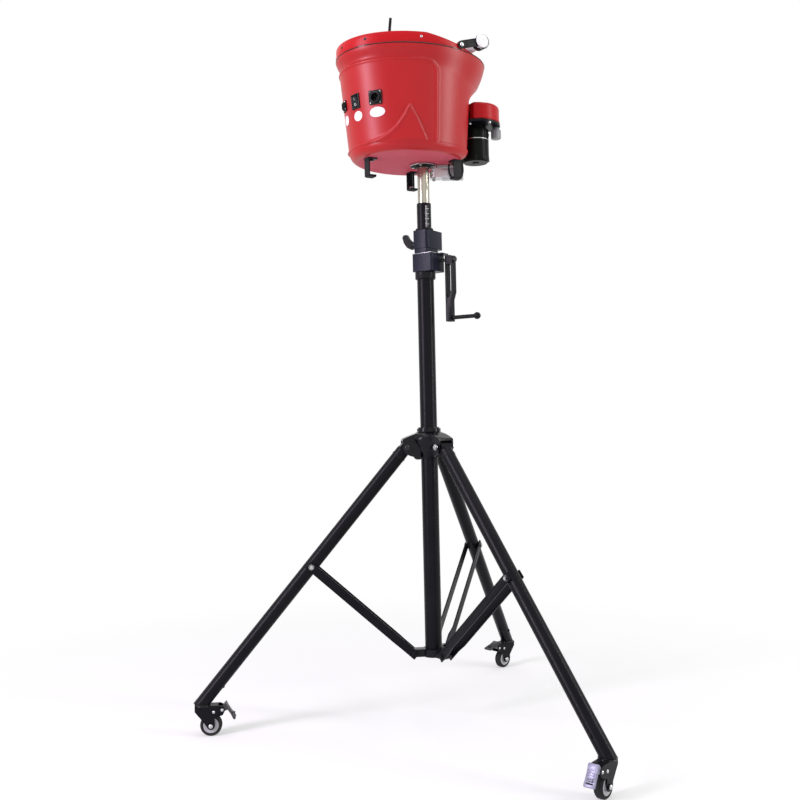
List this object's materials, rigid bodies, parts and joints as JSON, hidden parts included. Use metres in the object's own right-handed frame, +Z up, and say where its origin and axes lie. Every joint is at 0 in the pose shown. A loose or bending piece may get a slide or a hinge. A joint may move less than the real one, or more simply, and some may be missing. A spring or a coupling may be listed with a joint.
{
  "type": "badminton serving machine",
  "caption": "Badminton serving machine: shuttle hopper with feed carousel and two launch wheels on a wind-up mast with folding tripod legs and braked casters.",
  "frame": {"origin": "middle of the bounding box, on the floor under the casters", "axes": "+Z up along the mast; -X along the first leg; the head launches 25.3 degrees from +X towards +Y"},
  "size_m": [0.857, 1.0227, 1.6294],
  "materials": {
    "aluminium": "cast",
    "black_paint": "semi-gloss black paint",
    "black_plastic": "satin black",
    "board_green": "green board",
    "chrome": "bright",
    "gloss_black": "glossy black",
    "grey_plastic": "mid grey",
    "red_shell": "semi-gloss red",
    "rim_grey": "light grey",
    "rubber": "matt black",
    "steel": "brushed",
    "white_plastic": "white"
  },
  "bodies": {
    "stand": {"mast_tube": "black_paint", "mast_foot": "black_plastic", "winch_housing": "black_plastic", "lock_head": "black_plastic"},
    "hub": {"hub": "gloss_black"},
    "hub_knob": {"hub_lock_knob": "black_plastic"},
    "leg_1": {"leg_tube_1": "black_paint", "caster_stem_1": "black_plastic"},
    "strut_1": {"strut_pair_1": "black_paint"},
    "fork_1": {"caster_fork_1": "black_paint"},
    "wheel_1": {"caster_tyre_1": "rubber", "caster_wheel_1": "rim_grey"},
    "pedal_1": {"brake_pedal_1": "grey_plastic"},
    "leg_2": {"leg_tube_2": "black_paint", "caster_stem_2": "black_plastic"},
    "strut_2": {"strut_pair_2": "black_paint"},
    "fork_2": {"caster_fork_2": "black_paint"},
    "wheel_2": {"caster_tyre_2": "rubber", "caster_wheel_2": "rim_grey"},
    "pedal_2": {"brake_pedal_2": "grey_plastic"},
    "leg_3": {"leg_tube_3": "black_paint", "caster_stem_3": "black_plastic"},
    "strut_3": {"strut_pair_3": "black_paint"},
    "fork_3": {"caster_fork_3": "black_paint"},
    "wheel_3": {"caster_tyre_3": "rubber", "caster_wheel_3": "rim_grey"},
    "pedal_3": {"brake_pedal_3": "grey_plastic"},
    "lift": {"lift_tube": "black_paint", "head_post": "chrome"},
    "crank": {"crank_shaft": "steel", "crank_arm": "black_paint"},
    "crank_grip": {"crank_grip": "black_plastic"},
    "lock_lever": {"lock_lever": "black_plastic"},
    "head": {"bucket_shell": "red_shell", "lid_ring": "red_shell", "feed_deck": "grey_plastic", "feed_motor": "steel", "feed_chute": "steel", "control_board": "board_green", "switch_bezel": "black_plastic", "panel_connector": "black_plastic", "side_connector": "black_plastic", "tub_foot_1": "black_paint", "tub_foot_2": "black_paint", "tub_foot_3": "black_paint", "yaw_motor": "aluminium", "post_socket": "black_plastic", "launcher_plate": "black_paint", "launcher_cover_left": "red_shell", "launcher_cover_right": "red_shell", "launcher_motor_left": "black_plastic", "launcher_motor_right": "black_plastic"},
    "carousel": {"feed_carousel": "black_plastic"},
    "rocker": {"power_rocker": "gloss_black"},
    "antenna": {"antenna": "black_plastic"},
    "handle": {"handle_bail": "black_plastic"},
    "handle_grip": {"handle_grip": "white_plastic"},
    "wheel_left": {"launch_wheel_left": "rubber"},
    "wheel_right": {"launch_wheel_right": "rubber"},
    "launcher_knob": {"launcher_knob": "grey_plastic"}
  },
  "joints": [
    {"name": "hub_slide", "type": "slide", "parent": "stand", "child": "hub", "axis": [0, 0, 1], "range_m": [0, 0.18]},
    {"name": "hub_knob_turn", "type": "hinge", "parent": "hub", "child": "hub_knob", "pos_m": [0.1202, 0.04598, 0.63666], "axis": [-0.5, 0.866, 0], "continuous": true},
    {"name": "leg_fold_1", "type": "hinge", "parent": "hub", "child": "leg_1", "pos_m": [0.0795, 0.02, 0.65666], "axis": [0, -1, 0], "range_deg": [0, 32.31]},
    {"name": "strut_fold_1", "type": "hinge", "parent": "stand", "child": "strut_1", "pos_m": [0.0862, 0.02, 0.17], "axis": [0, 1, 0], "range_deg": [0, 38.03]},
    {"name": "caster_swivel_1", "type": "hinge", "parent": "leg_1", "child": "fork_1", "pos_m": [-0.40773, 0.02, 0.076], "axis": [0, 0, 1], "continuous": true},
    {"name": "wheel_spin_1", "type": "hinge", "parent": "fork_1", "child": "wheel_1", "pos_m": [-0.38873, 0.02, 0.025], "axis": [0, 1, 0], "continuous": true},
    {"name": "brake_pedal_1", "type": "hinge", "parent": "fork_1", "child": "pedal_1", "pos_m": [-0.36173, 0.02, 0.0614], "axis": [0, -1, 0], "range_deg": [0, 38]},
    {"name": "leg_fold_2", "type": "hinge", "parent": "hub", "child": "leg_2", "pos_m": [0.16305, -0.02824, 0.65666], "axis": [0.866, 0.5, 0], "range_deg": [0, 32.31]},
    {"name": "strut_fold_2", "type": "hinge", "parent": "stand", "child": "strut_2", "pos_m": [0.1597, -0.02244, 0.17], "axis": [-0.866, -0.5, 0], "range_deg": [0, 38.03]},
    {"name": "caster_swivel_2", "type": "hinge", "parent": "leg_2", "child": "fork_2", "pos_m": [0.40667, -0.45019, 0.076], "axis": [0, 0, 1], "continuous": true},
    {"name": "wheel_spin_2", "type": "hinge", "parent": "fork_2", "child": "wheel_2", "pos_m": [0.39323, -0.46363, 0.025], "axis": [0.7071, -0.7071, 0], "continuous": true},
    {"name": "brake_pedal_2", "type": "hinge", "parent": "fork_2", "child": "pedal_2", "pos_m": [0.37414, -0.48272, 0.0614], "axis": [-0.7071, 0.7071, 0], "range_deg": [0, 38]},
    {"name": "leg_fold_3", "type": "hinge", "parent": "hub", "child": "leg_3", "pos_m": [0.16305, 0.06824, 0.65666], "axis": [-0.866, 0.5, 0], "range_deg": [0, 32.31]},
    {"name": "strut_fold_3", "type": "hinge", "parent": "stand", "child": "strut_3", "pos_m": [0.1597, 0.06243, 0.17], "axis": [0.866, -0.5, 0], "range_deg": [0, 38.03]},
    {"name": "caster_swivel_3", "type": "hinge", "parent": "leg_3", "child": "fork_3", "pos_m": [0.40667, 0.49019, 0.076], "axis": [0, 0, 1], "continuous": true},
    {"name": "wheel_spin_3", "type": "hinge", "parent": "fork_3", "child": "wheel_3", "pos_m": [0.39149, 0.47876, 0.025], "axis": [0.6018, -0.7986, 0], "continuous": true},
    {"name": "brake_pedal_3", "type": "hinge", "parent": "fork_3", "child": "pedal_3", "pos_m": [0.36993, 0.46251, 0.0614], "axis": [-0.6018, 0.7986, 0], "range_deg": [-38, 0]},
    {"name": "mast_lift", "type": "slide", "parent": "stand", "child": "lift", "axis": [0, 0, 1], "range_m": [0, 0.42]},
    {"name": "crank_turn", "type": "hinge", "parent": "stand", "child": "crank", "pos_m": [0.15064, 0.0384, 1.099], "axis": [0.766, -0.6428, 0], "range_deg": [-2671, 0]},
    {"name": "crank_grip_spin", "type": "hinge", "parent": "crank", "child": "crank_grip", "pos_m": [0.15064, 0.0384, 0.961], "axis": [0.766, -0.6428, 0], "continuous": true},
    {"name": "lock_lever_turn", "type": "hinge", "parent": "stand", "child": "lock_lever", "pos_m": [0.1352, 0.02, 1.1393], "axis": [0.766, -0.6428, 0], "range_deg": [-90, 90]},
    {"name": "head_yaw", "type": "hinge", "parent": "lift", "child": "head", "pos_m": [0.1352, 0.02, 1.328], "axis": [0, 0, 1], "range_deg": [-30, 30]},
    {"name": "carousel_spin", "type": "hinge", "parent": "head", "child": "carousel", "pos_m": [0.09452, 0.00077, 1.514], "axis": [0, 0, 1], "continuous": true},
    {"name": "launch_wheel_right_spin", "type": "hinge", "parent": "head", "child": "wheel_right", "pos_m": [0.26315, 0.02075, 1.426], "axis": [0, 0, 1], "continuous": true},
    {"name": "launch_wheel_left_spin", "type": "hinge", "parent": "head", "child": "wheel_left", "pos_m": [0.217, 0.11839, 1.426], "axis": [0, 0, 1], "continuous": true},
    {"name": "power_rocker_tilt", "type": "hinge", "parent": "head", "child": "rocker", "pos_m": [-0.02595, -0.08224, 1.44561], "axis": [0.6014, -0.799, 0], "range_deg": [-18, 0]},
    {"name": "antenna_tilt", "type": "hinge", "parent": "head", "child": "antenna", "pos_m": [0.0538, -0.10077, 1.526], "axis": [-0.4274, 0.9041, 0], "range_deg": [-25, 40]},
    {"name": "handle_swing", "type": "hinge", "parent": "head", "child": "handle", "pos_m": [0.14876, 0.02641, 1.5683], "axis": [0.4274, -0.9041, 0], "range_deg": [-6, 120]},
    {"name": "handle_grip_spin", "type": "hinge", "parent": "handle", "child": "handle_grip", "pos_m": [0.19849, 0.04992, 1.5853], "axis": [-0.4274, 0.9041, 0], "continuous": true},
    {"name": "launcher_knob_turn", "type": "hinge", "parent": "head", "child": "launcher_knob", "pos_m": [0.31319, 0.01786, 1.4167], "axis": [0, 0, 1], "continuous": true}
  ],
  "couplings": [
    {"joint": "leg_fold_1", "follows": "hub_slide", "rad_per_m": 3.1034},
    {"joint": "strut_fold_1", "follows": "hub_slide", "rad_per_m": 3.6582},
    {"joint": "leg_fold_2", "follows": "hub_slide", "rad_per_m": 3.1034},
    {"joint": "strut_fold_2", "follows": "hub_slide", "rad_per_m": 3.6582},
    {"joint": "leg_fold_3", "follows": "hub_slide", "rad_per_m": 3.1034},
    {"joint": "strut_fold_3", "follows": "hub_slide", "rad_per_m": 3.6582},
    {"joint": "crank_turn", "follows": "mast_lift", "rad_per_m": -110.81},
    {"joint": "launch_wheel_left_spin", "follows": "launch_wheel_right_spin", "ratio": -1}
  ]
}
